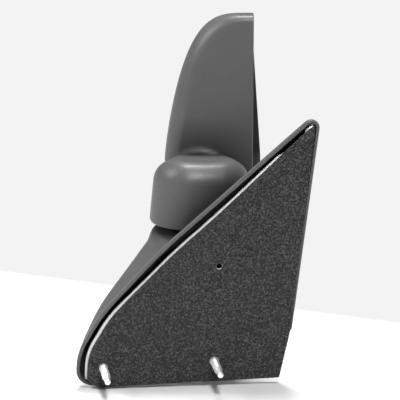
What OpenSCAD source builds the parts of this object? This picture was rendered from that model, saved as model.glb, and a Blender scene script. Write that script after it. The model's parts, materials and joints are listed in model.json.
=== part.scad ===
// Hand-adjusted door mirror for the right-hand side of a car.
// Origin: midway between the two mounting studs, on the gasket's door face.
// +X points to the rear of the car, +Y away from the door, +Z up.

/* [Mounting face] */
// Distance between the two mounting studs
stud_spacing = 82; // [79:1:85]
// Diameter of the mounting studs
stud_d = 6; // [5:0.5:6.5]
// Length of stud that stands out of the gasket
stud_reach = 28; // [24:1:32]
// Thickness of the foam gasket
foam_t = 4; // [3:0.5:5]
// Thickness of the bracket's plate
plate_t = 4; // [3.5:0.5:5]

/* [Sail] */
// Reach of the gasket in front of the origin
sail_front = 53; // [52:0.5:54]
// Height of the gasket's upper corner above the studs
sail_tip_z = 179; // [176:1:182]
// Wall thickness of the plastic covers
cover_wall = 2.5; // [2:0.1:2.8]
// Depth of the sail cover's flat upper part
wing_depth = 12.5; // [11.5:0.5:13]

/* [Folding pivot] */
// Pivot axis behind the origin
pivot_x = 39.5; // [38.5:0.5:40.5]
// Pivot axis outboard of the gasket face
pivot_y = 55; // [54:0.5:56]
// Height of the platform that the knuckle turns on
platform_z = 88; // [87:0.5:89]
// Diameter of the pivot post
post_d = 12; // [11:0.5:12.5]

/* [Head] */
// Width of the head across the glass
head_width = 180; // [176:1:184]
// Height of the head at its end nearest the car
head_height = 150; // [148:1:152]
// Depth of the head from front to rim
head_depth = 71.5; // [70.5:0.5:72.5]
// Wall thickness of the head shell
shell_wall = 2.8; // [2.4:0.1:3]
// Turn of the glass towards the driver
glass_angle = 12; // [11:0.5:13]

/* [Glass] */
// Thickness of the mirror glass
glass_t = 3; // [2:0.5:3]
// Distance of the glass behind the rim
glass_recess = 11; // [10.5:0.5:12]
// Diameter of the ball that the glass turns on
ball_d = 18; // [16:0.5:18]

/* [Hidden] */
$fn = 48;
// Segments of a round corner in an outline
corner_steps = 8;
// Fineness of the spheres and posts inside a hull
hull_fn = 32;
// Gap left round a fixed piece
fixed_gap = 0.02;
// Radial gap of a piece that turns on another
running_gap = 0.05;
// Overlap that makes a cut pass clean through
cut = 1;

// ---- sail levels, measured outboard from the gasket face
plate_y0 = foam_t;
plate_y1 = foam_t + plate_t;
lip_y0 = 1.5;
lip_y1 = plate_y1 + 1;
stud_x = stud_spacing / 2;
stud_r = stud_d / 2;
stud_head_t = 3;
stud_head_r = stud_r + 2.4;
shank_r = stud_r + 0.4;
pilot_r = stud_r - 0.85;
pilot_l = 10;
pilot_bevel = 0.7;
centre_hole = [45, 73];
centre_hole_r = 2.1;
centre_boss_r = 5.5;
centre_boss_y1 = plate_y1 + 7;
cover_screw_places = [[-30, 19], [72, 62], [93, 132]];
cover_screw_r = 1.75;
cover_screw_head_r = 3.6;
cover_screw_head_t = 2;
cover_boss_r = 4;

// ---- pivot stack, measured up from the studs
post_r = post_d / 2;
post_flange_z = platform_z - 20;
post_flange_t = 3;
post_flange_r = post_r + 1.8;
boss_z0 = post_flange_z + post_flange_t;
boss_z1 = platform_z - 9;
boss_r = 15;
boss_neck_r = 11;
boss_neck_z1 = boss_z1 - 4;
ring_t = 5;
ring_r = 15.5;
ring_gap = 1;
ball_r = 3;
ball_count = 3;
ball_circle_r = 11.8;
ball_z = boss_z1 + ring_t + 0.4;
index_z0 = boss_z1 + ring_t + ring_gap;
index_z1 = index_z0 + ring_t;
arm_boss_z1 = platform_z + 13;
bush_r = post_r + 2.2;
washer_t = 1.2;
spring_z0 = arm_boss_z1 + washer_t;
spring_h = 17;
spring_r = 10;
wire_r = 1.3;
spring_turns = 4;
retainer_z0 = spring_z0 + spring_h;
retainer_t = 2.5;
retainer_r = spring_r + wire_r + 2.7;
clip_z0 = retainer_z0 + retainer_t;
clip_t = 1.2;
groove_depth = 1;
post_top_z = clip_z0 + clip_t + 4;
seal_r = 18.5;

// ---- knuckle
platform_half_w = 34;
knuckle_half_w = 38.5;
knuckle_half_d = 35;
knuckle_corner_r = 28;
knuckle_z0 = platform_z + 5;
knuckle_z1 = platform_z + 54;
knuckle_top_r = 16;
knuckle_taper = 3;
knuckle_reach = 24;
// Fall of the knuckle's top towards the head
knuckle_fall = 9;

// ---- head, in a frame whose x is square to the glass, y along it and z up
rim_x = pivot_x + 46.3;
rim_y = pivot_y + 35;
head_z0 = platform_z + 5;
// Fall of the head's lower edge for each millimetre outboard
low_fall = 0.12;
head_z1 = head_z0 + head_height;
// Height at which the front starts to lean back
head_mid_z = head_z0 + 28;
// Fall of the head's upper edge for each millimetre outboard
top_fall = 0.21;
head_post = [
    (pivot_x - rim_x) * cos(glass_angle) - (pivot_y - rim_y) * sin(glass_angle),
    (pivot_x - rim_x) * sin(glass_angle) + (pivot_y - rim_y) * cos(glass_angle)
];

// ---- glass and its joint, in the head's frame
glass_x1 = -glass_recess;
glass_x0 = glass_x1 - glass_t;
pad_x0 = glass_x0 - 1;
holder_t = 2.5;
holder_x0 = pad_x0 - holder_t;
ball_r_glass = ball_d / 2;
ball_x = holder_x0 - 10.5;
ball_y = 88;
ball_h = head_z0 + 53;
cup_wall = 2.8;
stem_r = 4.5;
gimbal_r0 = 16;
gimbal_r1 = 21;
gimbal_half_t = 3;
ear_start = gimbal_r1 + 1;
ear_t = 5;
ear_half_w = 5;
gimbal_pin_r = 2;
base_x1 = ball_x - 12;
base_x0 = base_x1 - 4;
arm_t = 4;
arm_x1 = base_x0;
arm_x0 = arm_x1 - arm_t;

// ---- shapes shared by several pieces
function unit(v) = v / norm(v);

// Points of a round corner between two straight edges
function corner_arc(before, corner, after, radius) =
    let (
        back = unit(before - corner),
        ahead = unit(after - corner),
        half_angle = acos(back * ahead) / 2,
        centre = corner + unit(back + ahead) * radius / sin(half_angle),
        from = corner + back * radius / tan(half_angle) - centre,
        side = sign(cross(back, ahead)),
        turn = side * (180 - 2 * half_angle)
    )
    [
        for (i = [0:corner_steps])
            let (a = atan2(from[1], from[0]) - turn * i / corner_steps)
            centre + radius * [cos(a), sin(a)]
    ];

// Outline through corners given as [x, y, radius]
function rounded(corners) =
    let (n = len(corners), place = [for (c = corners) [c[0], c[1]]])
    [
        for (i = [0:n - 1])
            each corner_arc(place[(i + n - 1) % n], place[i], place[(i + 1) % n], corners[i][2])
    ];

// Corners of the sail's front and upper edges, moved outward by grow
function sail_corners(grow) = [
    [-sail_front - 1 - grow, -15 - 0.3 * grow, 11],
    [-sail_front - 0.3 - grow, 20.8 - 0.15 * grow, 45],
    [-14 - 0.4 * grow, 61 + 0.3 * grow, 300]
];

// Lower rear edge that the gasket and the bracket's tab share
rear_top = [98, 21];
rear_low = [90, -16];
foam_corners = concat(
    sail_corners(0),
    [[114.6, sail_tip_z, 2], [rear_top[0], rear_top[1], 8], [rear_low[0], rear_low[1], 1.5]]
);
plate_corners = concat(
    sail_corners(2),
    [[114.8, sail_tip_z + 0.4, 2], [rear_top[0] - 0.4, rear_top[1], 8], [rear_low[0], rear_low[1] + 0.6, 1.5]]
);
// The cover's lip stands off the gasket's front and upper edges and ends above its lower rear edge
lip_corners = [
    [-sail_front - 9, -18, 11],
    [-sail_front - 7, 11, 55],
    [-sail_front + 10.6, 41.8, 130],
    [2, 88, 400],
    [119.7, sail_tip_z + 10, 5.5],
    [99.3, 20.5, 3]
];
head_corners = [
    [0, head_z0, 10],
    [0, head_z1, 5],
    [head_width - 24, head_z1 - top_fall * (head_width - 24), 38],
    [head_width, head_z0 - low_fall * head_width, 28]
];
glass_corners = [
    [7, head_z0 + 7, 18],
    [7, head_z1 - 15, 24],
    [head_width - 29, head_z1 - 12.5 - top_fall * (head_width - 24), 34],
    [head_width - 7.5, head_z0 + 7 - low_fall * head_width, 24]
];

// Extrudes an outline drawn in X and Z from y0 to y1
module slab_y(y0, y1) {
    translate([0, y1, 0])
        rotate([90, 0, 0])
            linear_extrude(y1 - y0)
                children();
}

// Extrudes an outline drawn in the head's y and z from x0 to x1
module slab_x(x0, x1) {
    translate([x0, 0, 0])
        rotate([90, 0, 90])
            linear_extrude(x1 - x0)
                children();
}

module rod_y(place, y0, y1, r) {
    translate([place[0], y0, place[1]])
        rotate([-90, 0, 0])
            cylinder(h = y1 - y0, r = r);
}

module rod_x(place, x0, x1, r) {
    translate([x0, place[0], place[1]])
        rotate([0, 90, 0])
            cylinder(h = x1 - x0, r = r);
}

module on_pivot(z) {
    translate([pivot_x, pivot_y, z])
        children();
}

module ring(r0, r1, h) {
    difference() {
        cylinder(h = h, r = r1);
        translate([0, 0, -cut])
            cylinder(h = h + 2 * cut, r = r0);
    }
}

module head_frame() {
    translate([rim_x, rim_y, 0])
        rotate([0, 0, -glass_angle])
            children();
}

module at_ball() {
    translate([ball_x, ball_y, ball_h])
        children();
}

// Screw along +Z with its head's top at z = 0 and a cross recess
module cross_screw(head_r, head_t, shank_r, length) {
    difference() {
        union() {
            cylinder(h = head_t, r = head_r);
            cylinder(h = length, r = shank_r);
        }
        for (a = [0, 90])
            rotate([0, 0, a])
                translate([-head_r * 0.6, -0.5, -cut])
                    cube([head_r * 1.2, 1, cut + head_t * 0.6]);
    }
}

// ---- base
module foam_gasket() {
    color("#3b3b3d")
        difference() {
            slab_y(0, foam_t)
                polygon(rounded(foam_corners));
            for (side = [-1, 1])
                rod_y([side * stud_x, 0], -cut, foam_t + cut, shank_r + 0.4);
            rod_y(centre_hole, -cut, foam_t + cut, 2.65);
        }
}

module mounting_studs() {
    face = stud_head_t + plate_y1;
    tip = face + stud_reach;
    color("#e4e4e2")
        for (side = [-1, 1])
            translate([side * stud_x, plate_y1 + stud_head_t, 0])
                rotate([90, 0, 0])
                    rotate_extrude()
                        polygon([
                            [0, 0],
                            [stud_head_r, 0],
                            [stud_head_r, stud_head_t],
                            [shank_r, stud_head_t],
                            [shank_r, face],
                            [stud_r, face],
                            [stud_r, tip - pilot_l - pilot_bevel],
                            [pilot_r, tip - pilot_l],
                            [pilot_r, tip - pilot_bevel],
                            [pilot_r - pilot_bevel, tip],
                            [0, tip]
                        ]);
}

// Side web of the bracket's arm, drawn in Y and Z
module arm_web(x0, x1) {
    slab_x(x0, x1)
        polygon([
            [plate_y1 - cut, 18],
            [plate_y1 + 10, 26],
            [pivot_y, boss_z0 + 2],
            [pivot_y, boss_z1],
            [plate_y1 - cut, boss_z1]
        ]);
}

module base_bracket() {
    color("#cfcfcd")
        difference() {
            union() {
                slab_y(plate_y0, plate_y1)
                    polygon(rounded(plate_corners));
                arm_web(pivot_x - 13, pivot_x - 8);
                arm_web(pivot_x + 8, pivot_x + 13);
                translate([pivot_x - 13, plate_y1 - cut, boss_z1 - 5])
                    cube([26, pivot_y - plate_y1 + cut, 5]);
                on_pivot(boss_z0)
                    cylinder(h = boss_z1 - boss_z0, r = boss_neck_r);
                on_pivot(boss_neck_z1)
                    cylinder(h = boss_z1 - boss_neck_z1, r = boss_r);
                rod_y(centre_hole, plate_y1 - cut, centre_boss_y1, centre_boss_r);
            }
            on_pivot(boss_z0 - cut)
                cylinder(h = boss_z1 - boss_z0 + 2 * cut, r = post_r + fixed_gap);
            for (side = [-1, 1])
                rod_y([side * stud_x, 0], plate_y0 - cut, plate_y1 + cut, shank_r + fixed_gap);
            rod_y(centre_hole, plate_y0 - cut, centre_boss_y1 + cut, centre_hole_r);
            for (place = cover_screw_places) {
                rod_y(place, plate_y0 - cut, plate_y0 + cover_screw_head_t, cover_screw_head_r + 0.3);
                rod_y(place, plate_y0, plate_y1 + cut, cover_screw_r + 0.3);
            }
        }
}

// How far outboard the pedestal stands at height z
function pedestal_reach(z) =
    wing_depth + (pivot_y + 31 - wing_depth) * (1 - cos(180 * (z + 6) / 108)) / 2;

// Part of the lip's outline below a height
module lip_below(inset, top) {
    intersection() {
        offset(r = -inset)
            polygon(rounded(lip_corners));
        translate([-100, -50])
            square([300, 50 + top]);
    }
}

// Level plate of the pedestal at height z, with round outboard corners
module pedestal_level(inset, z, front, rear) {
    corner_r = 8 + 0.28 * z;
    reach = pedestal_reach(z);
    for (x = [front + corner_r, rear - corner_r])
        translate([x, reach - corner_r, z - 1])
            cylinder(h = 1, r = corner_r - inset, $fn = hull_fn);
    translate([front + inset, lip_y1, z - 1])
        cube([rear - front - 2 * inset, 1, 1]);
}

// Sail cover's outside, or its inside when inset is the wall thickness
module sail_form(inset) {
    slab_y0 = inset > 0 ? -cut : lip_y0;
    middle_z = 46;
    hull() {
        slab_y(slab_y0, lip_y1 - inset / 2)
            offset(r = -inset)
                polygon(rounded(lip_corners));
        slab_y(lip_y1, wing_depth - inset)
            offset(r = -inset - 4)
                polygon(rounded(lip_corners));
    }
    hull() {
        slab_y(slab_y0, lip_y1)
            lip_below(inset, middle_z);
        pedestal_level(inset, middle_z, -33, pivot_x + 26);
    }
    hull() {
        pedestal_level(inset, middle_z, -33, pivot_x + 26);
        pedestal_level(inset, platform_z - inset, 3, pivot_x + 34);
        slab_y(slab_y0, lip_y1)
            lip_below(inset, platform_z - inset);
    }
}

module sail_cover() {
    color("#4a4a4c")
        difference() {
            sail_form(0);
            difference() {
                sail_form(cover_wall);
                for (place = cover_screw_places)
                    rod_y(place, plate_y1, platform_z, cover_boss_r);
            }
            slab_y(-cut, plate_y1 + fixed_gap)
                offset(r = 1)
                    polygon(rounded(plate_corners));
            on_pivot(platform_z - 8)
                cylinder(h = 20, r = seal_r - 0.5);
            for (place = cover_screw_places)
                rod_y(place, plate_y1 - cut, plate_y1 + 3, cover_screw_r + fixed_gap);
        }
}

module cover_screws() {
    color("#b8b8b6")
        for (place = cover_screw_places)
            translate([place[0], plate_y0 + 0.1, place[1]])
                rotate([-90, 0, 0])
                    cross_screw(cover_screw_head_r, cover_screw_head_t - 0.1, cover_screw_r, plate_t + 2.8);
}

module pivot_post() {
    bore_r = post_r - 3;
    color("#c9c9c9")
        on_pivot(post_flange_z)
            rotate_extrude()
                polygon([
                    [bore_r, 0],
                    [post_flange_r, 0],
                    [post_flange_r, post_flange_t],
                    [post_r, post_flange_t],
                    [post_r, clip_z0 - post_flange_z],
                    [post_r - groove_depth, clip_z0 - post_flange_z],
                    [post_r - groove_depth, clip_z0 + clip_t - post_flange_z],
                    [post_r, clip_z0 + clip_t - post_flange_z],
                    [post_r, post_top_z - 1 - post_flange_z],
                    [post_r - 1, post_top_z - post_flange_z],
                    [bore_r, post_top_z - post_flange_z]
                ]);
}

module each_ball() {
    for (i = [0:ball_count - 1])
        on_pivot(ball_z)
            rotate([0, 0, 360 * i / ball_count])
                translate([ball_circle_r, 0, 0])
                    children();
}

module detent_ring() {
    color("#8c8c8a")
        difference() {
            on_pivot(boss_z1)
                ring(post_r + fixed_gap, ring_r, ring_t);
            each_ball()
                sphere(r = ball_r + fixed_gap);
        }
}

module detent_balls() {
    color("#dcdcdc")
        each_ball()
            sphere(r = ball_r);
}

module knuckle_seal() {
    color("#1c1c1c")
        on_pivot(platform_z)
            rotate_extrude()
                polygon([
                    [seal_r, 0],
                    [seal_r + 4.5, 0],
                    [seal_r + 4.5, 1.2],
                    [seal_r + 2.5, 1.6],
                    [seal_r + 1.7, 3.4],
                    [seal_r + 0.7, 3.4],
                    [seal_r, 1.6]
                ]);
}

module thrust_washer() {
    color("#d9d4c8")
        on_pivot(arm_boss_z1)
            ring(post_r + running_gap, 13.5, washer_t);
}

// Coil of round wire: its level section is the wire's crescent, swept up with a twist
module fold_spring() {
    pitch = spring_h / spring_turns;
    section_steps = 10;
    crescent = [
        for (i = [0:section_steps - 1])
            let (
                t = 360 * i / section_steps,
                r = spring_r + wire_r * cos(t),
                a = 360 * wire_r * sin(t) / pitch
            )
            r * [cos(a), sin(a)]
    ];
    color("#9a9a9a")
        on_pivot(spring_z0)
            linear_extrude(height = spring_h, twist = -360 * spring_turns, slices = 12 * spring_turns)
                polygon(crescent);
}

module spring_retainer() {
    color("#bdbdbb")
        on_pivot(retainer_z0)
            rotate_extrude()
                polygon([
                    [post_r + running_gap, 0],
                    [retainer_r, 0],
                    [retainer_r, retainer_t - 1],
                    [retainer_r - 1, retainer_t],
                    [post_r + running_gap, retainer_t]
                ]);
}

module retaining_clip() {
    color("#6e6e70")
        on_pivot(clip_z0)
            difference() {
                ring(post_r - groove_depth + fixed_gap, post_r + 2.5, clip_t - fixed_gap);
                translate([0, -2.5, -cut])
                    cube([20, 5, clip_t + 2 * cut]);
            }
}

// ---- head
// Knuckle's outside, or its inside when inset is the wall thickness
module knuckle_form(inset) {
    side = knuckle_corner_r - inset;
    top = knuckle_top_r - inset;
    low = inset > 0 ? knuckle_z0 - cut : knuckle_z0;
    high = knuckle_z1 - inset;
    dx = knuckle_half_w - knuckle_corner_r;
    dy = knuckle_half_d - knuckle_corner_r;
    hull() {
        for (x = [-dx, dx], y = [-dy, dy])
            translate([pivot_x + x, pivot_y + y, 0])
                knuckle_post(side, top, low, high);
        for (x = [-dx, dx])
            translate([pivot_x + x * 0.4, pivot_y + dy + knuckle_reach, 0])
                knuckle_post(side - 4, top, low, high - knuckle_fall);
    }
}

// Round post with a filleted top, one corner of the knuckle
module knuckle_post(side, top, low, high) {
    rotate_extrude($fn = hull_fn)
        polygon(concat(
            [[0, low], [side, low]],
            [
                for (a = [0:15:90])
                    [side - knuckle_taper - top * (1 - cos(a)), high - top * (1 - sin(a))]
            ],
            [[0, high]]
        ));
}

// Everything on the head's side of the plane of its inboard end
module beyond_head_end(gap) {
    head_frame()
        translate([-200, -gap, 0])
            cube([400, 400, 400]);
}

module knuckle_cover() {
    color("#4a4a4c")
        difference() {
            knuckle_form(0);
            knuckle_form(cover_wall);
            beyond_head_end(0.3);
        }
}

arm_screw_places = [[27, head_z0 + 13], [36, head_z0 + 62], [121, head_z0 + 32]];
adjuster_screw_places = [for (y = [-19, 19], z = [-16, 16]) [ball_y + y, ball_h + z]];

module pivot_arm() {
    beam_x0 = arm_x0 - 3;
    beam_x1 = arm_x1;
    color("#b9b9b7")
        difference() {
            union() {
                on_pivot(index_z1)
                    cylinder(h = arm_boss_z1 - index_z1, r = ring_r);
                on_pivot(knuckle_z0 + 1)
                    cylinder(h = 5, r = 25);
                head_frame() {
                    slab_x(beam_x0, beam_x1)
                        polygon([
                            [head_post[1], knuckle_z0 + 1],
                            [36, head_z0 + 5],
                            [127, head_z0 + 25],
                            [127, head_z0 + 39],
                            [ball_y + 23, ball_h + 20],
                            [ball_y - 25, ball_h + 22],
                            [28, head_z0 + 69],
                            [20, arm_boss_z1 + 14],
                            [head_post[1] + 10, arm_boss_z1]
                        ]);
                }
            }
            on_pivot(knuckle_z0 - 10)
                cylinder(h = 60, r = bush_r + fixed_gap);
            on_pivot(arm_boss_z1)
                cylinder(h = 40, r = spring_r + wire_r + 4);
            head_frame() {
                translate([beam_x0 - cut, 14, head_z0])
                    cube([arm_x0 - beam_x0 + cut, 200, 200]);
                for (place = concat(arm_screw_places, adjuster_screw_places))
                    rod_x(place, beam_x0 - cut, arm_x1 + cut, 2.1);
                rod_x([ball_y, ball_h], beam_x0 - cut, arm_x1 + cut, 3.1);
            }
        }
}

module pivot_bush() {
    color("#e8e2d0")
        on_pivot(index_z0)
            ring(post_r + running_gap, bush_r, arm_boss_z1 - index_z0);
}

module index_ring() {
    color("#8c8c8a")
        difference() {
            on_pivot(index_z0)
                ring(bush_r + fixed_gap, ring_r, ring_t);
            on_pivot(ball_z)
                rotate_extrude()
                    translate([ball_circle_r, 0])
                        circle(r = ball_r + running_gap);
            each_ball()
                sphere(r = ball_r + 0.3);
        }
}

// Depth of the head's front from its rim: a superellipse upward that falls back outboard
function front_depth(y, z) =
    let (rise = max(0, z + top_fall * max(0, y - 15) - head_mid_z) / (head_z1 - 3 - head_mid_z))
    (head_depth - 1.4) * (1 - 0.2 * pow(y / head_width, 2)) * pow(max(0, 1 - pow(rise, 1.44)), 0.296);

// Sphere that touches the head's front from inside at height z
module front_ball(y, z, r, inset) {
    slope = (front_depth(y, z + 1) - front_depth(y, z - 1)) / 2;
    steep = norm([1, slope]);
    translate([-front_depth(y, z) + r / steep, y, z + slope * r / steep])
        sphere(r = r - inset, $fn = hull_fn);
}

// Head's outside, or its inside when inset is the wall thickness
module head_form(inset) {
    hull() {
        slab_x(-12, inset > 0 ? cut : 0)
            offset(r = -inset)
                polygon(rounded(head_corners));
        slab_x(-24, -12)
            offset(r = -inset - 1.5)
                polygon(rounded(head_corners));
        for (station = [0, 1, 2], level = [0:4]) {
            r = 19 - 2.6 * level;
            y = [r, 88, head_width - 30][station];
            low = head_mid_z - 8;
            top = head_z1 - 3 - top_fall * max(0, y - 15);
            front_ball(y, low + (top - low) * sin(18 * level), r, inset);
        }
        for (y = [18, 88, head_width - 28])
            translate([-front_depth(y, 0) + 19, y, head_z0 - low_fall * y + 18])
                sphere(r = 18 - inset, $fn = hull_fn);
    }
}

module head_shell() {
    color("#4a4a4c")
        head_frame()
            difference() {
                head_form(0);
                difference() {
                    head_form(shell_wall);
                    for (place = arm_screw_places)
                        rod_x(place, -head_depth, arm_x0 - fixed_gap, 4.5);
                }
                translate([arm_x0 - 5, -cut, head_z0 + 1])
                    cube([arm_t + 12, 12, 24]);
                for (place = arm_screw_places)
                    rod_x(place, arm_x0 - 6, arm_x0 + cut, 1.7);
            }
}

module shell_screws() {
    color("#b8b8b6")
        head_frame()
            for (place = arm_screw_places)
                translate([arm_x1 + 2, place[0], place[1]])
                    rotate([0, -90, 0])
                        cross_screw(3.8, 2, 1.68, 10.5);
}

module adjuster_base() {
    color("#262628")
        head_frame()
            difference() {
                union() {
                    slab_x(base_x0, base_x1)
                        polygon(rounded([
                            for (c = [[-26, -22], [-26, 22], [-9, 29], [9, 29]])
                                [ball_y + c[0], ball_h + c[1], 5],
                            for (c = [[26, 22], [26, -22], [9, -29], [-9, -29]])
                                [ball_y + c[0], ball_h + c[1], 5]
                        ]));
                    for (side = [-1, 1])
                        translate([0, ball_y, ball_h + (side > 0 ? ear_start : -ear_start - ear_t)]) {
                            translate([ball_x, 0, 0])
                                cylinder(h = ear_t, r = ear_half_w);
                            translate([base_x1 - cut, -ear_half_w, 0])
                                cube([ball_x - base_x1 + cut, 2 * ear_half_w, ear_t]);
                        }
                }
                at_ball()
                    translate([0, 0, -40])
                        cylinder(h = 80, r = gimbal_pin_r + running_gap);
                for (place = adjuster_screw_places)
                    rod_x(place, base_x0 - cut, base_x1 + cut, 1.9);
                rod_x([ball_y, ball_h], base_x0 - cut, base_x1 + cut, 3 + fixed_gap);
            }
}

module adjuster_screws() {
    color("#b8b8b6")
        head_frame()
            for (place = adjuster_screw_places)
                translate([base_x1 + 2, place[0], place[1]])
                    rotate([0, -90, 0])
                        cross_screw(3.6, 2, 1.85, 10.5);
}

module ball_stud() {
    color("#d2d2d0")
        head_frame()
            at_ball()
                difference() {
                    union() {
                        sphere(r = ball_r_glass);
                        translate([base_x1 - ball_x, 0, 0])
                            rotate([0, 90, 0]) {
                                cylinder(h = 8, r = stem_r);
                                cylinder(h = 1.5, r = 7);
                            }
                        translate([arm_x0 - 3 - ball_x, 0, 0])
                            rotate([0, 90, 0])
                                cylinder(h = base_x1 - arm_x0 + 4, r = 3);
                    }
                    translate([ball_r_glass - 1.5, -20, -20])
                        cube([10, 40, 40]);
                }
}

module ball_stud_nut() {
    color("#bdbdbb")
        head_frame()
            translate([arm_x0 - 2.6, ball_y, ball_h])
                rotate([0, 90, 0])
                    difference() {
                        cylinder(h = 2.6, r = 5.77, $fn = 6);
                        translate([0, 0, -cut])
                            cylinder(h = 5, r = 3 + fixed_gap);
                    }
}

// ---- gimbal
module gimbal_ring() {
    color("#e6e6e0")
        head_frame()
            at_ball()
                difference() {
                    rotate([0, 90, 0])
                        translate([0, 0, -gimbal_half_t])
                            ring(gimbal_r0, gimbal_r1, 2 * gimbal_half_t);
                    translate([0, 0, -30])
                        cylinder(h = 60, r = gimbal_pin_r + fixed_gap);
                    rotate([90, 0, 0])
                        translate([0, 0, -30])
                            cylinder(h = 60, r = gimbal_pin_r + running_gap);
                }
}

module gimbal_pin_pair() {
    for (side = [0, 1])
        mirror([0, 0, side])
            translate([0, 0, gimbal_r0 - 0.3])
                cylinder(h = ear_start + ear_t - gimbal_r0 + 0.3, r = gimbal_pin_r);
}

module pan_pins() {
    color("#c4c4c2")
        head_frame()
            at_ball()
                gimbal_pin_pair();
}

module tilt_pins() {
    color("#c4c4c2")
        head_frame()
            at_ball()
                rotate([90, 0, 0])
                    gimbal_pin_pair();
}

// ---- glass
module glass_holder() {
    cup_r = ball_r_glass + cup_wall;
    color("#2b2b2d")
        head_frame()
            difference() {
                union() {
                    slab_x(holder_x0, pad_x0)
                        offset(r = -0.6)
                            polygon(rounded(glass_corners));
                    for (side = [-1, 1])
                        translate([0, ball_y + (side > 0 ? ear_start : -ear_start - ear_t), ball_h]) {
                            rotate([-90, 0, 0])
                                translate([ball_x, 0, 0])
                                    cylinder(h = ear_t, r = ear_half_w);
                            translate([ball_x, 0, -ear_half_w])
                                cube([holder_x0 - ball_x + cut, ear_t, 2 * ear_half_w]);
                        }
                    for (dy = [-50, 50])
                        translate([holder_x0 - 2, ball_y + dy - 1, ball_h - 42])
                            cube([2 + cut, 2, 84]);
                    for (dz = [-42, 42])
                        translate([holder_x0 - 2, ball_y - 60, ball_h + dz - 1])
                            cube([2 + cut, 120, 2]);
                }
                rod_x([ball_y, ball_h], holder_x0 - cut, pad_x0 + cut, cup_r - 1);
                at_ball()
                    rotate([90, 0, 0])
                        translate([0, 0, -40])
                            cylinder(h = 80, r = gimbal_pin_r + fixed_gap);
            }
}

module ball_socket() {
    cup_r = ball_r_glass + cup_wall;
    color("#efece2")
        head_frame()
            at_ball()
                rotate([0, 90, 0])
                    difference() {
                        union() {
                            translate([0, 0, -3])
                                cylinder(h = holder_x0 - ball_x + 3, r = cup_r);
                            translate([0, 0, holder_x0 - ball_x])
                                cylinder(h = holder_t, r = cup_r - 1 - fixed_gap);
                        }
                        sphere(r = ball_r_glass + running_gap);
                        cylinder(h = ball_r_glass + 0.5, r = ball_r_glass * 0.8);
                        for (a = [45, 135])
                            rotate([0, 0, a])
                                translate([-20, -0.75, -3 - cut])
                                    cube([40, 1.5, 7 + cut]);
                        rotate_extrude()
                            translate([cup_r, -0.2])
                                circle(r = 0.8 + fixed_gap);
                    }
}

module socket_spring() {
    cup_r = ball_r_glass + cup_wall;
    color("#8a8a8c")
        head_frame()
            at_ball()
                rotate([0, 90, 0])
                    difference() {
                        rotate_extrude()
                            translate([cup_r, -0.2])
                                circle(r = 0.8);
                        translate([0, -1.5, -3])
                            cube([20, 3, 6]);
                    }
}

module adhesive_pad() {
    color("#d8d8d4")
        head_frame()
            slab_x(pad_x0, glass_x0)
                offset(r = -4)
                    polygon(rounded(glass_corners));
}

module mirror_glass() {
    color("#c9d6dc")
        head_frame()
            slab_x(glass_x0, glass_x1)
                polygon(rounded(glass_corners));
}

foam_gasket();
base_bracket();
mounting_studs();
sail_cover();
cover_screws();
pivot_post();
detent_ring();
detent_balls();
knuckle_seal();
thrust_washer();
fold_spring();
spring_retainer();
retaining_clip();
pivot_arm();
pivot_bush();
index_ring();
knuckle_cover();
head_shell();
shell_screws();
adjuster_base();
adjuster_screws();
ball_stud();
ball_stud_nut();
gimbal_ring();
pan_pins();
tilt_pins();
glass_holder();
ball_socket();
socket_spring();
adhesive_pad();
mirror_glass();
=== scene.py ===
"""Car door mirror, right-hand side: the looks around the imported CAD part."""

import json
import math

import bpy
import numpy as np
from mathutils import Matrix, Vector


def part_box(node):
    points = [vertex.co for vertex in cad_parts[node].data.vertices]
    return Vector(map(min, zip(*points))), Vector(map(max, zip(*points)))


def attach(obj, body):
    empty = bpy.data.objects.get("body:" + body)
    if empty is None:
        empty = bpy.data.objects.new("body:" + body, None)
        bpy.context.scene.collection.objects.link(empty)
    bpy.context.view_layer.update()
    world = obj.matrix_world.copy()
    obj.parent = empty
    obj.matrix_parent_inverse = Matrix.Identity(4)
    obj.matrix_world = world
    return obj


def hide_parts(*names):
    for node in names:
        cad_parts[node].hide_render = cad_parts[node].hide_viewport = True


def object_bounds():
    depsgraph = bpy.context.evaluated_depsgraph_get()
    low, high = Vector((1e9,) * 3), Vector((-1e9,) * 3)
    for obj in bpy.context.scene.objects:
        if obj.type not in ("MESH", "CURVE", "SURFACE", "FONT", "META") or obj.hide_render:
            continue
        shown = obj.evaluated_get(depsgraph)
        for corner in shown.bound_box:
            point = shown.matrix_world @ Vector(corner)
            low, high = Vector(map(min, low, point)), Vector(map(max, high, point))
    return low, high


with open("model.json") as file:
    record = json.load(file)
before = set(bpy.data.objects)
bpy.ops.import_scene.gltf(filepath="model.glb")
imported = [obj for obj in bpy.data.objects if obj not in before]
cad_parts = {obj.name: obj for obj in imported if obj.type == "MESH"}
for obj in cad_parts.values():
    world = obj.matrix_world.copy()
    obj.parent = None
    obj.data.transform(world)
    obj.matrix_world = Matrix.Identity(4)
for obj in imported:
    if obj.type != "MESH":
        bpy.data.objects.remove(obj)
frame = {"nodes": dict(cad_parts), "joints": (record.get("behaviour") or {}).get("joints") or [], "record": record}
cad_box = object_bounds()

MM = 0.001
JOINTS = {joint["name"]: joint for joint in frame["joints"]}


# ---------------------------------------------------------------- measures taken from the frame, in mm
def points_of(node):
    """A CAD node's vertices in mm."""
    mesh = frame["nodes"][node].data
    co = np.empty(3 * len(mesh.vertices))
    mesh.vertices.foreach_get("co", co)
    return co.reshape(-1, 3) / MM


def box_of(node):
    low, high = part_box(node)
    return np.array(low) / MM, np.array(high) / MM


def extent(node, direction):
    """Lowest and highest reach of a node along a direction."""
    reach = points_of(node) @ direction
    return reach.min(), reach.max()


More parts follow.
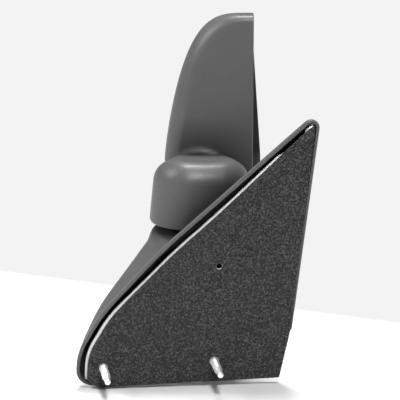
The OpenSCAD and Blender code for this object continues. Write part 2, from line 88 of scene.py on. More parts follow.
X, Y, Z = np.eye(3)
post_low, post_high = box_of("pivot_post")
PIVOT = (post_low + post_high) / 2
PLATFORM_Z = box_of("knuckle_seal")[0][2]
KNUCKLE_LOW, KNUCKLE_HIGH = box_of("knuckle_cover")
SAIL_LOW, SAIL_HIGH = box_of("sail_cover")
PLATE_FACE_Y = box_of("foam_gasket")[1][1]

# The head's own axes: x square to the glass and rearward, y along it and outboard, z up
HEAD_Y = np.array(JOINTS["glass_tilt"]["axis"])
HEAD_X = np.cross(HEAD_Y, Z)
RIM_X = extent("head_shell", HEAD_X)[1]
HEAD_END = extent("head_shell", HEAD_Y)[0]
HEAD_WIDTH = extent("head_shell", HEAD_Y)[1] - HEAD_END
HEAD_TOP = box_of("head_shell")[1][2]
HEAD_ORIGIN = RIM_X * HEAD_X + HEAD_END * HEAD_Y
HEAD_DEPTH = RIM_X - extent("head_shell", HEAD_X)[0]
HEAD_INBOARD_LOW = PLATFORM_Z + 5


def from_head(points):
    """Head coordinates to the row frame."""
    return HEAD_ORIGIN + points @ np.array([HEAD_X, HEAD_Y, Z])


def to_head(points):
    """Row frame to head coordinates."""
    return (points - HEAD_ORIGIN) @ np.array([HEAD_X, HEAD_Y, Z]).T


# ---------------------------------------------------------------- distance fields, negative inside
def smooth(t):
    """Soft step from 0 to 1."""
    t = np.clip(t, 0, 1)
    return t * t * (3 - 2 * t)


def meet(a, b, radius):
    """Where both a and b hold, with a fillet of this radius along the edge."""
    corner = np.hypot(np.maximum(a + radius, 0), np.maximum(b + radius, 0))
    return np.minimum(np.maximum(a, b), -radius) + corner


def join(a, b, width):
    """Either a or b, blended softly over width."""
    width = np.maximum(width, 1e-6)
    h = np.clip(0.5 + 0.5 * (b - a) / width, 0, 1)
    return b + (a - b) * h - width * h * (1 - h)


def oval(u, v, size_u, size_v, power_u, power_v):
    """Superellipse, with its distance corrected to first order."""
    a, b = np.abs(u) / size_u + 1e-9, np.abs(v) / size_v + 1e-9
    level = a**power_u + b**power_v
    slope = np.hypot(power_u * a ** (power_u - 1) / size_u, power_v * b ** (power_v - 1) / size_v)
    return (level - 1) / np.maximum(slope, 1e-3)


def rounded_outline(corners, steps=10):
    """Closed outline through corners given as (u, v, radius), with round corners."""
    places = [np.array(c[:2], float) for c in corners]
    outline = []
    for i, place in enumerate(places):
        back = places[i - 1] - place
        ahead = places[(i + 1) % len(places)] - place
        back, ahead = back / np.linalg.norm(back), ahead / np.linalg.norm(ahead)
        half = math.acos(np.clip(back @ ahead, -1, 1)) / 2
        radius = corners[i][2]
        middle = back + ahead
        centre = place + middle / np.linalg.norm(middle) * radius / math.sin(half)
        first = place + back * radius / math.tan(half) - centre
        turn = math.pi - 2 * half
        side = -math.copysign(1, back[0] * ahead[1] - back[1] * ahead[0])
        for k in range(steps + 1):
            a = side * turn * k / steps
            spin = np.array([[math.cos(a), -math.sin(a)], [math.sin(a), math.cos(a)]])
            outline.append(centre + spin @ first)
    return np.array(outline)


def even_outline(outline, count):
    """The same closed outline with evenly spaced points."""
    closed = np.vstack([outline, outline[:1]])
    along = np.concatenate([[0], np.cumsum(np.linalg.norm(np.diff(closed, axis=0), axis=1))])
    stops = np.linspace(0, along[-1], count, endpoint=False)
    return np.stack([np.interp(stops, along, closed[:, i]) for i in (0, 1)], axis=1)


def outline_distance(u, v, outline):
    """Signed distance from points (u, v) to a closed outline."""
    nearest = np.full(u.shape, 1e9)
    inside = np.zeros(u.shape, bool)
    for a, b in zip(outline, np.roll(outline, -1, axis=0)):
        edge = b - a
        length2 = edge @ edge
        if length2 < 1e-12:
            continue
        du, dv = u - a[0], v - a[1]
        t = np.clip((du * edge[0] + dv * edge[1]) / length2, 0, 1)
        nearest = np.minimum(nearest, np.hypot(du - t * edge[0], dv - t * edge[1]))
        crosses = (a[1] > v) != (b[1] > v)
        inside ^= crosses & (du < edge[0] * dv / (edge[1] if abs(edge[1]) > 1e-12 else 1e-12))
    return np.where(inside, -nearest, nearest)


# ---------------------------------------------------------------- open shells
def even_spread(points, parameter, count, turn_weight):
    """Parameters that spread count points evenly along a line, closer together where it turns."""
    step = np.diff(points, axis=0)
    length = np.linalg.norm(step, axis=1)
    way = step / np.maximum(length, 1e-9)[:, None]
    cosine = np.clip(np.sum(way[1:] * way[:-1], axis=1), -1, 1)
    turn = np.concatenate([[0], np.arccos(cosine)])
    turn = np.convolve(turn, np.ones(9) / 9, mode="same")
    total = np.concatenate([[0], np.cumsum(length + turn_weight * turn)])
    return np.interp(np.linspace(0, total[-1], count), total, parameter)


def cast(field, centre, directions, offset=0.0, reach=320.0):
    """Points where rays from centre leave the field moved inward by offset."""
    near = np.zeros(directions.shape[:-1])
    far = np.full(directions.shape[:-1], reach)
    for _ in range(26):
        middle = (near + far) / 2
        points = centre + directions * middle[..., None]
        within = field(points) < -offset
        near = np.where(within, middle, near)
        far = np.where(within, far, middle)
    return centre + directions * ((near + far) / 2)[..., None]


def open_shell(name, field, centre, axes, columns, rows, inner_rows, wall, rim_r, warp=None):
    """Thin shell round centre, open at the plane through it; axes are (across, up, to the closed side)."""
    across, up, out = [np.array(a, float) for a in axes]

    def directions(phi, alpha):
        ring = np.cos(phi)[..., None] * across + np.sin(phi)[..., None] * up
        return np.sin(alpha)[..., None] * ring + np.cos(alpha)[..., None] * out

    quarter = math.pi / 2
    phi_dense = np.linspace(0, 2 * math.pi, 1441)
    rim = cast(field, centre, directions(phi_dense, np.full_like(phi_dense, quarter)))
    phi = even_spread(rim, phi_dense, columns + 1, 6.0)[:-1]
    alpha_dense = np.linspace(0, quarter, 241)
    grid_phi, grid_alpha = np.meshgrid(phi, alpha_dense, indexing="ij")
    dense = cast(field, centre, directions(grid_phi, grid_alpha))
    alpha = np.array([even_spread(line, alpha_dense, rows + 1, 5.0) for line in dense])
    for _ in range(3):
        alpha = (np.roll(alpha, 1, axis=0) + 2 * alpha + np.roll(alpha, -1, axis=0)) / 4
    grid_phi = np.repeat(phi[:, None], rows + 1, axis=1)
    outer = cast(field, centre, directions(grid_phi, alpha))
    pick = np.linspace(0, rows, inner_rows + 1)
    inner_alpha = np.array([np.interp(pick, np.arange(rows + 1), line) for line in alpha])
    inner_phi = np.repeat(phi[:, None], inner_rows + 1, axis=1)
    inner = cast(field, centre, directions(inner_phi, inner_alpha), wall)

    inward = inner[:, -1] - outer[:, -1]
    gap = np.linalg.norm(inward, axis=1)
    inward /= gap[:, None]
    edge = np.minimum(rim_r, gap * 0.45)[:, None]
    rings = [outer[:, k] for k in range(1, rows + 1)]
    for angle in np.radians([22.5, 45, 67.5, 90]):
        rings.append(outer[:, -1] + inward * edge * (1 - math.cos(angle)) - out * edge * math.sin(angle))
    for angle in np.radians([90, 67.5, 45, 22.5]):
        rings.append(inner[:, -1] - inward * edge * (1 - math.cos(angle)) - out * edge * math.sin(angle))
    rings += [inner[:, k] for k in range(inner_rows, 0, -1)]
    vertices = np.concatenate([outer[:1, 0], *rings, inner[:1, 0]])
    if warp:
        vertices = warp(vertices)
    faces = []
    last = len(vertices) - 1
    for k in range(len(rings) - 1):
        a, b = 1 + k * columns, 1 + (k + 1) * columns
        faces += [(a + i, b + i, b + (i + 1) % columns, a + (i + 1) % columns) for i in range(columns)]
    end = 1 + (len(rings) - 1) * columns
    faces += [(0, 1 + i, 1 + (i + 1) % columns) for i in range(columns)]
    faces += [(last, end + (i + 1) % columns, end + i) for i in range(columns)]
    if np.dot(np.cross(across, up), out) < 0:
        faces = [face[::-1] for face in faces]
    return new_piece(name, vertices, faces)


def new_piece(name, vertices, faces):
    """A mesh object from vertices in mm."""
    mesh = bpy.data.meshes.new(name)
    mesh.from_pydata((np.asarray(vertices) * MM).tolist(), [], faces)
    mesh.polygons.foreach_set("use_smooth", [True] * len(mesh.polygons))
    mesh.update()
    piece = bpy.data.objects.new(name, mesh)
    bpy.context.scene.collection.objects.link(piece)
    return piece


def ring_faces(count, rings, closed=False):
    """Quads between rings of count vertices each; closed joins the last ring to the first."""
    faces = []
    for k in range(rings if closed else rings - 1):
        a, b = k * count, (k + 1) % rings * count
        faces += [(a + i, a + (i + 1) % count, b + (i + 1) % count, b + i) for i in range(count)]
    return faces


def lathe(profile, segments=48, thread=None):
    """Vertices and faces turned about +Z from (radius, height) pairs; thread adds to the radius."""
    angles = np.linspace(0, 2 * math.pi, segments, endpoint=False)
    vertices = []
    for radius, height in profile:
        for angle in angles:
            r = radius + (thread(height, angle) if thread else 0)
            vertices.append((r * math.cos(angle), r * math.sin(angle), height))
    faces = ring_faces(segments, len(profile))
    faces.append(tuple(range(segments))[::-1])
    faces.append(tuple(range((len(profile) - 1) * segments, len(profile) * segments)))
    return np.array(vertices), faces


def apply_modifiers(piece):
    """Makes the piece's modifiers part of its mesh."""
    graph = bpy.context.evaluated_depsgraph_get()
    mesh = bpy.data.meshes.new_from_object(piece.evaluated_get(graph))
    piece.modifiers.clear()
    piece.data = mesh
    mesh.polygons.foreach_set("use_smooth", [True] * len(mesh.polygons))


def cut_away(piece, cutter):
    """Takes the cutter's volume out of the piece and deletes the cutter."""
    cut = piece.modifiers.new("cut", "BOOLEAN")
    cut.object, cut.solver = cutter, "EXACT"
    apply_modifiers(piece)
    bpy.data.objects.remove(cutter)


# ---------------------------------------------------------------- sail cover
WING_DEPTH = 12.5
LIP = rounded_outline([
    (SAIL_LOW[0] - 0.6, -17, 12),
    (SAIL_LOW[0] + 0.8, 12, 46),
    (SAIL_LOW[0] + 18.6, 41.8, 110),
    (2.0, 88, 400),
    (SAIL_HIGH[0] + 1.3, SAIL_HIGH[2] + 7.6, 6),
    (99.3, 20.5, 3),
])


def pedestal_reach(z):
    """How far outboard the pedestal stands at height z."""
    share = (1 - np.cos(math.pi * np.clip((z + 6) / 108, 0, 1))) / 2
    return WING_DEPTH + (PLATFORM_Z - 14.5) * share


def front_inset(y, z):
    """How far the pedestal's front face stands back from the lip's outline: it flares out to the platform."""
    flare = smooth((z - PLATFORM_Z + 11) / 11)
    at_fillet = 1.2 + 2.6 * smooth((z - 20) / 60) - 2.8 * flare
    before_fillet = np.maximum(0.62 * pedestal_reach(z) - y, 0)
    return at_fillet + (0.03 + 0.07 * flare) * before_fillet


def sail_field(p):
    """The flat wing behind the lip, blended into the pedestal that carries the pivot."""
    x, y, z = p[..., 0], p[..., 1], p[..., 2]
    lip = outline_distance(x, z, LIP)
    wing = meet(lip, y - WING_DEPTH, 9.5)
    height = np.clip(z / PLATFORM_Z, 0, 1)
    front = meet(lip + front_inset(y, z), y - pedestal_reach(z), 9 + 20 * smooth(z / 75))
    rear = x - (PIVOT[0] + 33 - 10 * (1 - height))
    body = meet(meet(front, rear, 8 + 18 * height), z - PLATFORM_Z, 1.2)
    return join(wing, body, 5 * smooth((-lip - 2) / 14))


def make_sail_cover():
    """Triangle cover and pedestal, open to the door, with a round hole for the pivot."""
    rim_r, wall = 0.8, 2.6
    hole_r, hole_depth = 18, 24
    centre = np.array([40.0, SAIL_LOW[1] + rim_r, 40.0])
    piece = open_shell("sail_cover_skin", sail_field, centre, (X, -Z, Y), 420, 150, 36, wall, rim_r)
    hole_v, hole_f = lathe([(hole_r, 0), (hole_r, hole_depth)], 64)
    cutter = new_piece("cutter", hole_v + [PIVOT[0], PIVOT[1], PLATFORM_Z - hole_depth / 2], hole_f)
    cut_away(piece, cutter)
    return finish_piece(piece, "base", "grained_plastic", "sail_cover")


# ---------------------------------------------------------------- knuckle
def box_plan(u, v, half_u, half_v, corner):
    """Distance to a rectangle with round corners."""
    du, dv = np.abs(u) - half_u + corner, np.abs(v) - half_v + corner
    return np.hypot(np.maximum(du, 0), np.maximum(dv, 0)) + np.minimum(np.maximum(du, dv), 0) - corner


def knuckle_field(p):
    """Box with a crowned front, a saddle on top and a flat side against the head."""
    x, y, z = p[..., 0] - PIVOT[0], p[..., 1] - PIVOT[1], p[..., 2]
    half_w = (KNUCKLE_HIGH[0] - KNUCKLE_LOW[0]) / 2 + 0.4
    door_side = PIVOT[1] - KNUCKLE_LOW[1]
    low, high = KNUCKLE_LOW[2], KNUCKLE_HIGH[2]
    narrowing = 0.32 * np.maximum(y, 0) * (x < 0)
    crown = (2 + 8 * np.clip((z - low) / (high - low), 0, 1)) * (x / half_w) ** 2
    plan = box_plan(x, y - 20, half_w - narrowing, door_side + 20 - crown, 27) + 0.1 * (z - low)
    side_rise = np.where(x < 8, 2.4, 1.0) * ((x - 8) / 28) ** 2
    saddle = high - 0.17 * np.maximum(y + 17, -6) + side_rise
    block = meet(plan, (z - saddle) * 0.95, 15 + 3 * smooth(-x / 25))
    block = meet(block, low - z, 2.5)
    return meet(block, to_head(p)[..., 1] + 0.4, 0.8)


def make_knuckle_cover():
    """Rounded box over the pivot, open below."""
    rim_r, wall = 0.8, 2.5
    centre = np.array([PIVOT[0], PIVOT[1], KNUCKLE_LOW[2] + 3.2])
    piece = open_shell("knuckle_cover_skin", knuckle_field, centre, (X, Y, Z), 240, 80, 24, wall, rim_r)
    return finish_piece(piece, "head", "grained_plastic", "knuckle_cover")


# ---------------------------------------------------------------- head
def head_field(p):
    """Head section above and below its widest line, closed by the end faces; (x, y, z) are head axes."""
    x, y, z = p[..., 0], p[..., 1], p[..., 2]
    out = y / HEAD_WIDTH
    flat = z + 0.21 * np.maximum(y - 15, 0)
    base_z = 125.0  # height of the widest line
    size_x = (HEAD_DEPTH - 0.9) * (1 - 0.20 * out**2)
    upper = oval(x, flat - base_z, size_x, HEAD_TOP - 2.3 - base_z, 3.8, 1.2)
    lower_z = HEAD_INBOARD_LOW - 0.12 * y
    lower = oval(x, base_z - z, size_x, base_z - lower_z, 3.4, 3.0)
    side = np.where(flat > base_z, upper, lower)
    pad_arc = 138 - (x + 41) ** 2 / 49
    pad = 2.6 * smooth((pad_arc - z) / 4.5)
    crown = 0.8 * ((z - 165) / 78) ** 2
    fillet = 5 + 11 * smooth((-x - 6) / 34)
    near = meet(side, -y - pad + crown, fillet)
    far_r = 28 + 10 * smooth((z - 110) / 60)
    return meet(near, y - HEAD_WIDTH + 0.12 * np.maximum(-x, 0) + 0.05 * np.maximum(z - 130, 0), far_r)


def twist_rim(points):
    """The rim turns slightly towards its lower outboard corner."""
    x, y, z = points.T
    fade = smooth((x + 45) / 45)
    return np.stack([x + 4.06e-4 * y * (131 - z) * fade, y, z], axis=1)


def make_head_shell():
    """The housing, with painted shade: its inner wall behind the rim gets the near-black plastic."""
    rim_r, wall = 0.8, 2.4
    columns, rows, rim_rows = 340, 110, 5
    centre = np.array([-rim_r, 84.0, 150.0])
    piece = open_shell(
        "head_shell_skin", head_field, centre, (Y, Z, -X), columns, rows, 40, wall, rim_r,
        warp=lambda v: from_head(twist_rim(v)),
    )
    finish_piece(piece, "head", "grained_plastic", "head_shell")
    # Painted shade: the inner wall is the same plastic but gets a near-black copy so it reads as in shadow.
    shaded_inner_wall = range(columns * (rows + rim_rows), len(piece.data.polygons) - 2 * columns)
    second_material(piece, "painted_shade_plastic", shaded_inner_wall)
    return piece


# ---------------------------------------------------------------- gasket and bracket plate
FRONT_EDGE = even_outline(rounded_outline([
    (SAIL_LOW[0] - 2.6, -70, 20),
    (SAIL_LOW[0] + 0.8, 12, 46),
    (SAIL_LOW[0] + 18.6, 41.8, 110),
    (2.0, 88, 400),
    (SAIL_HIGH[0] + 1.3, SAIL_HIGH[2] + 6.6, 6),
    (135, -70, 20),
]), 480)


def plate_inset(z):
    """How far inside the lip the bracket's plate ends, along the front and upper edges."""
    return 6.6 + 1.9 * smooth((z - 33) / 50) - 4.4 * smooth((z - 105) / 90)


def foam_inset(z):
    """The gasket ends just inside the plate's edge."""
    return plate_inset(z) + 1.4 - 1.0 * smooth((z - 30) / 40) + 0.7 * smooth((z - 176) / 4)


def hidden_plate_inset(z):
    """The plate's edge dips behind the gasket for a stretch below the tip."""
    return plate_inset(z) + 3.6 * smooth((z - 157) / 8) * smooth((176 - z) / 4)


def trim_edge(piece, inset, y0, y1):
    """Cuts a plate back to inset inside the lip, between the depths y0 and y1."""
    ahead, behind = np.roll(FRONT_EDGE, -1, axis=0), np.roll(FRONT_EDGE, 1, axis=0)
    along = (ahead - behind) / np.linalg.norm(ahead - behind, axis=1)[:, None]
    inward = np.column_stack([-along[:, 1], along[:, 0]])
    middle = FRONT_EDGE.mean(axis=0)
    inward *= np.sign(((middle - FRONT_EDGE) * inward).sum(axis=1))[:, None]
    inner = FRONT_EDGE + inward * inset(FRONT_EDGE[:, 1])[:, None]
    clear = 12
    outer = FRONT_EDGE - inward * clear
    rings = [(inner, y0), (outer, y0), (outer, y1), (inner, y1)]
    vertices = np.concatenate([np.insert(ring, 1, y, axis=1) for ring, y in rings])
    cutter = new_piece("cutter", vertices, ring_faces(len(FRONT_EDGE), len(rings), closed=True))
    cut_away(piece, cutter)


def copy_of(node, name):
    """A piece that starts as a copy of a CAD node's mesh."""
    piece = bpy.data.objects.new(name, frame["nodes"][node].data.copy())
    bpy.context.scene.collection.objects.link(piece)
    return piece


def make_foam_gasket():
    """The gasket with an uneven, cellular surface."""
    piece = copy_of("foam_gasket", "foam_gasket_pad")
    trim_edge(piece, foam_inset, -1, PLATE_FACE_Y + 1)
    remesh = piece.modifiers.new("cells", "REMESH")
    remesh.mode, remesh.voxel_size = "VOXEL", 0.6 * MM
    cells = bpy.data.textures.new("cells", "CLOUDS")
    cells.noise_scale, cells.noise_depth = 1.0 * MM, 1
    relief = piece.modifiers.new("relief", "DISPLACE")
    relief.texture, relief.strength, relief.mid_level = cells, 0.4 * MM, 0.7
    apply_modifiers(piece)
    return finish_piece(piece, "base", "foam", "foam_gasket")


def centre_hole():
    """Middle of the small hole, from the gasket's vertices well inside its outline and above the studs."""
    x, _, z = points_of("foam_gasket").T
    inside = (outline_distance(x, z, LIP) < -20) & (z > 30)
    return x[inside].mean(), z[inside].mean()


def make_base_bracket():
    """The cast bracket, with its plate trimmed to follow the gasket and painted shade in its centre hole: the bore
    faces get near-black plastic.
    """
    plate_t, bore_r = 4.2, 2.6
    piece = copy_of("base_bracket", "base_bracket_cast")
    trim_edge(piece, hidden_plate_inset, PLATE_FACE_Y - 1, PLATE_FACE_Y + plate_t)
    finish_piece(piece, "base", "cast_metal", "base_bracket")
    hole_x, hole_z = centre_hole()
    # Painted shade: the bore is cast metal but gets near-black plastic so the hole reads as in shadow.
    shaded_bore = [
        face.index for face in piece.data.polygons
        if math.hypot(face.center.x / MM - hole_x, face.center.z / MM - hole_z) < bore_r
    ]
    second_material(piece, "painted_shade_plastic", shaded_bore)
    return piece


# ---------------------------------------------------------------- studs
def make_studs():
    """Two studs with a threaded length and a plain pilot point."""
    low, high = box_of("mounting_studs")
    stud_r, shank_r, head_r, pilot_r = 3.0, 3.4, 5.4, 2.15
    centres = (low[0] + head_r, high[0] - head_r)
    pitch, depth, pilot = 1.0, 0.5, 10.0
    tip = high[1] - low[1]
    thread_from, thread_to = 12.0, tip - pilot - 1.2

    def thread(height, angle):
        phase = (height / pitch - angle / (2 * math.pi)) % 1.0
        fade = smooth((height - thread_from) / pitch) * smooth((thread_to - height) / pitch)
        return -depth * fade * smooth(1 - abs(2 * phase - 1)) if height < thread_to else 0.0

    profile = [(5.0, 0), (head_r, 0.4), (head_r, 2.6), (5.0, 3.0)]
    profile += [(shank_r, 3.0), (shank_r, 10.9), (stud_r, 11.0)]
    profile += [(stud_r, h) for h in np.arange(thread_from, thread_to, pitch / 8)]
    profile += [(stud_r, thread_to), (stud_r, tip - pilot - 0.8), (pilot_r, tip - pilot)]
    profile += [(pilot_r, tip - 0.9), (1.95, tip - 0.4), (1.4, tip)]
    vertices, faces = lathe(profile, 40, thread)
    turned = np.stack([vertices[:, 0], high[1] - vertices[:, 2], vertices[:, 1]], axis=1)
    places = np.concatenate([turned + [x, 0, 0] for x in centres])
    faces = faces + [tuple(i + len(vertices) for i in face) for face in faces]
    piece = new_piece("mounting_studs_threaded", places, faces)
    return finish_piece(piece, "base", "zinc_steel", "mounting_studs")


# ---------------------------------------------------------------- glass
def make_mirror_glass():
    """Convex glass with a ground edge."""
    spots = to_head(points_of("mirror_glass"))
    face = spots[spots[:, 0] > spots[:, 0].max() - 0.01][:, 1:]
    middle = (face.min(0) + face.max(0)) / 2
    outline = face[np.argsort(np.arctan2(face[:, 1] - middle[1], face[:, 0] - middle[0]))]
    keep = np.linalg.norm(np.diff(outline, axis=0, append=outline[:1]), axis=1) > 1e-3
    edge = even_outline(outline[keep], 240)
    x0, x1 = spots[:, 0].min(), spots[:, 0].max()
    bulge, radius = 0.9, 1400.0

    def crown(offset):
        return x1 + bulge - (offset**2).sum(axis=1) / (2 * radius)

    rings = []
    for share, drop in ((0.99, 2.6), (1.0, 2.2), (1.0, 0.45), (0.996, 0.12), (0.99, 0.0)):
        offset = (edge - middle) * share
        depth = np.full(len(edge), x0) if drop == 2.6 else crown(offset) - drop
        rings.append(np.column_stack([np.maximum(depth, x0), middle + offset]))
    for share in np.linspace(0.97, 0.05, 24):
        offset = (edge - middle) * share
        rings.append(np.column_stack([crown(offset), middle + offset]))
    count = len(edge)
    vertices = np.concatenate(rings + [[[x1 + bulge, *middle]]])
    faces = ring_faces(count, len(rings))
    top = len(vertices) - 1
    end = (len(rings) - 1) * count
    faces += [(end + i, end + (i + 1) % count, top) for i in range(count)]
    faces.append(tuple(range(count))[::-1])
    piece = new_piece("mirror_glass_convex", from_head(vertices), faces)
    return finish_piece(piece, "glass", "mirror_glass", "mirror_glass")


# ---------------------------------------------------------------- materials
class Shader:
    """A node material: add() makes a node, links sockets and sets values."""

    def __init__(self, name):
        self.material = bpy.data.materials.new(name)
        self.material.use_nodes = True
        self.tree = self.material.node_tree
        self.tree.nodes.clear()
        self.place = self.add("ShaderNodeTexCoord").outputs["Object"]

    def add(self, kind, inputs=None, **settings):
        made = self.tree.nodes.new(kind)
        for key, value in settings.items():
            setattr(made, key, value)
        for key, value in (inputs or {}).items():
            if isinstance(value, bpy.types.NodeSocket):
                self.tree.links.new(value, made.inputs[key])
            else:
                made.inputs[key].default_value = value
        return made

    def noise(self, size, detail=2.0, rough=0.5, stretch=(1, 1, 1)):
        """Noise whose features are about size mm."""
        place = self.place
        if stretch != (1, 1, 1):
            place = self.add("ShaderNodeMapping", {"Vector": place, "Scale": stretch}).outputs["Vector"]
        made = self.add(
            "ShaderNodeTexNoise",
            {"Vector": place, "Scale": 1 / (size * MM), "Detail": detail, "Roughness": rough},
        )
        return made.outputs["Fac"]

    def cells(self, size):
        """Random cells about size mm across: (distance, grey of the cell)."""
        inputs = {"Vector": self.place, "Scale": 1 / (size * MM)}
        made = self.add("ShaderNodeTexVoronoi", inputs)
        return made.outputs["Distance"], made.outputs["Color"]

    def ramp(self, factor, stops):
        made = self.add("ShaderNodeValToRGB", {"Fac": factor})
        points = made.color_ramp.elements
        while len(points) < len(stops):
            points.new(0.5)
        for point, (position, grey) in zip(points, stops):
            point.position = position
            point.color = (*grey, 1) if isinstance(grey, tuple) else (grey, grey, grey, 1)
        return made.outputs["Color"]

    def range(self, factor, low, high):
        made = self.add("ShaderNodeMapRange", {"Value": factor, "To Min": low, "To Max": high})
        return made.outputs["Result"]

    def mix(self, factor, a, b):
        made = self.add("ShaderNodeMix", data_type="RGBA")
        for index, value in ((0, factor), (6, a), (7, b)):
            if isinstance(value, bpy.types.NodeSocket):
                self.tree.links.new(value, made.inputs[index])
            else:
                made.inputs[index].default_value = value
        return made.outputs[2]

    def math(self, operation, a, b):
        made = self.add("ShaderNodeMath", operation=operation)
        for index, value in enumerate((a, b)):
            if isinstance(value, bpy.types.NodeSocket):
                self.tree.links.new(value, made.inputs[index])
            else:
                made.inputs[index].default_value = value
        return made.outputs[0]

    def bump(self, height, depth, strength=1.0, under=None):
        """Bump of depth mm."""
        inputs = {"Height": height, "Distance": depth * MM, "Strength": strength}
        if under is not None:
            inputs["Normal"] = under
        return self.add("ShaderNodeBump", inputs).outputs["Normal"]

    def worn_edges(self, amount):
        """Factor that rises on raised edges, broken up by noise."""
        point = self.add("ShaderNodeNewGeometry").outputs["Pointiness"]
        edge = self.add(
            "ShaderNodeMapRange", {"Value": point, "From Min": 0.505, "From Max": 0.56, "To Max": amount}
        ).outputs["Result"]
        return self.math("MULTIPLY", edge, self.noise(6, 4))

    def recess_shade_factor(self, reach, power):
        """Ambient-occlusion factor that falls towards 0 deep in gaps and hollows, for painting shade there."""
        shade = self.add("ShaderNodeAmbientOcclusion", {"Distance": reach * MM}, samples=8).outputs["AO"]
        return self.math("POWER", shade, power)

    def finish(self, **inputs):
        names = {key.replace("_", " "): value for key, value in inputs.items()}
        surface = self.add("ShaderNodeBsdfPrincipled", names)
        self.add("ShaderNodeOutputMaterial", {"Surface": surface.outputs["BSDF"]})
        return self.material


def grey(value, blue=0.0):
    return (value, value, value * (1 + blue), 1)


def moulded_plastic(name, base, grain, rough, wear=0.5):
    """Moulded plastic with a fine spark-eroded grain, faint scuffs, rubbed edges and painted shade in its gaps and
    hollows.
    """
    s = Shader(name)
    patches = s.noise(38, 4)
    colour = s.mix(s.range(patches, 0.0, 1.0), grey(base * 0.92), grey(base * 1.1))
    colour = s.mix(s.worn_edges(wear), colour, grey(base * 1.9))
    # Painted shade: ambient occlusion darkens the colour towards a tenth of the base, and dims the specular, in
    # gaps and hollows.
    painted_shade_factor = s.recess_shade_factor(30, 1.4)
    colour = s.mix(painted_shade_factor, grey(base * 0.1), colour)
    scuff = s.noise(9, 6, 0.65, stretch=(1, 1, 0.35))
    fine = s.noise(grain, 3, 0.6)
    distance, _ = s.cells(grain * 1.7)
    height = s.math("ADD", fine, distance)
    rough_map = s.math("ADD", s.range(scuff, rough - 0.05, rough + 0.06), s.range(fine, -0.04, 0.04))
    return s.finish(
        Base_Color=colour, Roughness=rough_map, IOR=1.46, Specular_IOR_Level=s.range(painted_shade_factor, 0.05, 0.5),
        Normal=s.bump(height, 0.06 * grain / 0.45, 0.8, s.bump(s.noise(16, 2), 0.05, 0.5)),
    )


def foam_material():
    """Closed-cell foam: dark cells of random grey with paler skins between them."""
    s = Shader("foam_speckle")
    distance, colour = s.cells(0.95)
    cell = s.add("ShaderNodeSeparateColor", {"Color": colour}).outputs["Red"]
    speck = s.math("ADD", s.range(cell, 0.0, 0.62), s.range(s.noise(0.6, 3, 0.7), -0.1, 0.48))
    shade = s.ramp(speck, ((0.0, 0.006), (0.32, 0.016), (0.62, 0.05), (1.0, 0.17)))
    cloud = s.range(s.noise(22, 3), 0.62, 0.84)
    shade = s.add("ShaderNodeVectorMath", {0: shade, 1: cloud}, operation="MULTIPLY").outputs["Vector"]
    height = s.math("ADD", distance, s.noise(0.5, 4, 0.7))
    return s.finish(
        Base_Color=shade, Roughness=0.95, Specular_IOR_Level=0.25,
        Sheen_Weight=0.12, Sheen_Roughness=0.6, Normal=s.bump(height, 0.35, 0.8),
    )


def metal(name, base, rough, streak=(1, 1, 1), tint=0.0, metallic=1.0, grain=0.25):
    """Metal with a fine finish, handling marks and slightly brighter edges."""
    s = Shader(name)
    finish_noise = s.noise(grain, 3, 0.6, streak)
    blotch = s.noise(7, 4)
    colour = s.mix(s.range(blotch, 0.0, 1.0), grey(base * 0.86, tint), grey(base, tint))
    colour = s.mix(s.worn_edges(0.8), colour, grey(min(base * 1.2, 0.98), tint))
    rough_map = s.math("ADD", s.range(blotch, rough - 0.06, rough + 0.08), s.range(finish_noise, -0.05, 0.05))
    return s.finish(
        Base_Color=colour, Metallic=metallic, Roughness=rough_map, Normal=s.bump(finish_noise, 0.02, 0.6)
    )


def soft_part(name, base, rough, grain, depth):
    """Rubber, acetal or sheet foam: softly mottled with a fine matt surface."""
    s = Shader(name)
    mottle = s.range(s.noise(5, 4), 0.88, 1.08)
    colour = s.add("ShaderNodeVectorMath", {0: base, 1: mottle}, operation="MULTIPLY").outputs["Vector"]
    fine = s.noise(grain, 4, 0.65)
    return s.finish(
        Base_Color=colour, Roughness=s.range(s.noise(3, 3), rough - 0.06, rough + 0.06),
        Normal=s.bump(fine, depth, 0.7),
    )


def silvered_glass():
    """Silvered glass with a faint blue cast, slight haze towards dust and fine wipe marks."""
    s = Shader("silvered_glass")
    dust = s.noise(14, 5, 0.6)
    wipe = s.noise(3.0, 5, 0.7, stretch=(1, 0.12, 1))
    rough = s.math("ADD", s.range(dust, 0.0, 0.05), s.range(wipe, 0.0, 0.03))
    colour = s.mix(s.range(dust, 0.0, 1.0), (0.80, 0.85, 0.88, 1), (0.86, 0.90, 0.92, 1))
    return s.finish(Base_Color=colour, Metallic=1.0, Roughness=rough, Coat_Weight=0.5, Coat_Roughness=0.03)


MATERIALS = {
    "grained_plastic": moulded_plastic("grained_black_plastic", 0.085, 0.5, 0.39),
    "black_nylon": moulded_plastic("black_nylon_plastic", 0.03, 0.3, 0.38, 0.3),
    # Painted shade: a near-black copy of the plastic for faces that stand in shade, namely the head's inner wall
    # and the bracket's bore.
    "painted_shade_plastic": moulded_plastic("painted_shade_black_plastic", 0.012, 0.5, 0.75, 0.1),
    "foam": foam_material(),
    "zinc_steel": metal("zinc_plate", 0.95, 0.34, (1, 0.2, 1), 0.01, metallic=0.75),
    "cast_metal": metal("cast_alloy", 0.97, 0.5, grain=0.6, metallic=0.1),
    "steel": metal("turned_steel", 0.58, 0.34, (1, 1, 6)),
    "polished_steel": metal("polished_steel_finish", 0.80, 0.13),
    "spring_steel": metal("oiled_spring_steel", 0.36, 0.30, tint=0.04),
    "rubber": soft_part("black_rubber", (0.016, 0.016, 0.016), 0.75, 0.3, 0.05),
    "acetal": soft_part("natural_acetal", (0.82, 0.80, 0.74), 0.42, 0.25, 0.02),
    "adhesive_foam": soft_part("adhesive_sheet", (0.72, 0.72, 0.69), 0.85, 0.35, 0.08),
    "mirror_glass": silvered_glass(),
}


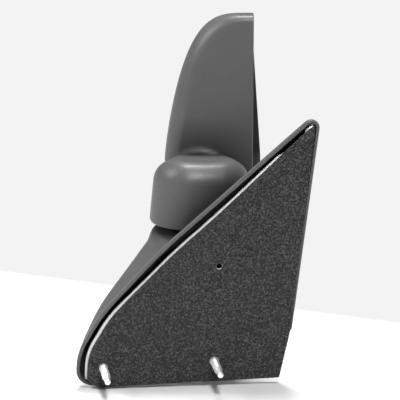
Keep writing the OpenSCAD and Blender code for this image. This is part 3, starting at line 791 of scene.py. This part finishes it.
def finish_piece(piece, body, slot, *nodes):
    """Gives a piece its material and its body, and hides the CAD nodes it stands for."""
    piece.data.materials.clear()
    piece.data.materials.append(MATERIALS[slot])
    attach(piece, body)
    if nodes:
        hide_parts(*nodes)
    return piece


def second_material(piece, slot, indices):
    """Gives some of a piece's faces another material."""
    piece.data.materials.append(MATERIALS[slot])
    for index in indices:
        piece.data.polygons[index].material_index = 1


def dress_cad_nodes():
    """Gives each CAD node the material of its slot."""
    for row in frame["record"]["subparts"]:
        node = frame["nodes"][row["node"]]
        node.data.materials.clear()
        node.data.materials.append(MATERIALS[row["material_slot"]])


# ---------------------------------------------------------------- stage
def area_light(name, place, target, size, power):
    data = bpy.data.lights.new(name, "AREA")
    data.shape, data.size, data.energy = "DISK", size, power
    light = bpy.data.objects.new(name, data)
    light.location = place
    light.rotation_euler = (Vector(target) - Vector(place)).to_track_quat("-Z", "Y").to_euler()
    bpy.context.scene.collection.objects.link(light)


def make_world():
    """Soft grey surroundings for the light, and a near-white backdrop for the camera."""
    world = bpy.data.worlds.new("studio")
    world.use_nodes = True
    tree = world.node_tree
    lit = tree.nodes["Background"]
    lit.inputs["Color"].default_value = (1.0, 1.0, 1.0, 1)
    lit.inputs["Strength"].default_value = 0.17
    seen = tree.nodes.new("ShaderNodeBackground")
    seen.inputs["Color"].default_value = (0.905, 0.905, 0.915, 1)
    path = tree.nodes.new("ShaderNodeLightPath")
    pick = tree.nodes.new("ShaderNodeMixShader")
    tree.links.new(path.outputs["Is Camera Ray"], pick.inputs[0])
    tree.links.new(lit.outputs[0], pick.inputs[1])
    tree.links.new(seen.outputs[0], pick.inputs[2])
    tree.links.new(pick.outputs[0], tree.nodes["World Output"].inputs["Surface"])
    bpy.context.scene.world = world


def make_floor():
    """Pale floor, slightly out of level, with a light grey backdrop that starts behind the mirror."""
    low, _ = cad_box
    s = Shader("studio_floor")
    tone = s.range(s.noise(60, 3), 0.80, 0.83)
    white = s.add("ShaderNodeCombineColor", {0: tone, 1: tone, 2: tone}).outputs[0]
    axes = s.add("ShaderNodeSeparateXYZ", {"Vector": s.place}).outputs
    behind = s.math("ADD", axes["Y"], s.math("MULTIPLY", axes["X"], 0.47))
    limits = {"Value": behind, "From Min": 0.215, "From Max": 0.232}
    edge = s.add("ShaderNodeMapRange", limits).outputs["Result"]
    paper = s.finish(
        Base_Color=s.mix(edge, white, (0, 0, 0, 1)), Roughness=0.9, Specular_IOR_Level=0.0,
        Emission_Color=(0.895, 0.895, 0.905, 1), Emission_Strength=edge,
    )
    half, stand_x, z = 4000.0, -45.0, low.z / MM - 0.6
    fall = math.tan(math.radians(2.2))
    square = ((-half, -half), (half, -half), (half, half), (-half, half))
    corners = [(x, y, z - fall * (x - stand_x)) for x, y in square]
    floor = new_piece("floor", corners, [(0, 1, 2, 3)])
    floor.data.materials.append(paper)


def make_stage():
    """Floor, backdrop and three soft lights."""
    make_floor()
    make_world()
    middle = (0.03, 0.08, 0.1)
    area_light("key", (0.05, -0.95, 1.25), middle, 0.26, 16)
    area_light("side", (-1.25, 0.15, 1.0), middle, 0.6, 10)
    area_light("top", (0.1, 0.4, 1.65), middle, 0.6, 32)
    bpy.context.scene.view_settings.view_transform = "Standard"


def make_camera():
    """Long lens from the door side, a little to the front and above."""
    data = bpy.data.cameras.new("camera")
    data.lens, data.sensor_width = 162.0, 36.0
    camera = bpy.data.objects.new("camera", data)
    camera.location = (-0.1668, -1.2208, 0.4903)
    look = Vector((0.1528, 0.9467, -0.2835))
    camera.rotation_euler = look.to_track_quat("-Z", "Y").to_euler()
    bpy.context.scene.collection.objects.link(camera)
    bpy.context.scene.camera = camera


make_sail_cover()
make_knuckle_cover()
make_head_shell()
make_foam_gasket()
make_base_bracket()
make_studs()
make_mirror_glass()
dress_cad_nodes()
make_stage()
make_camera()

bpy.context.view_layer.update()
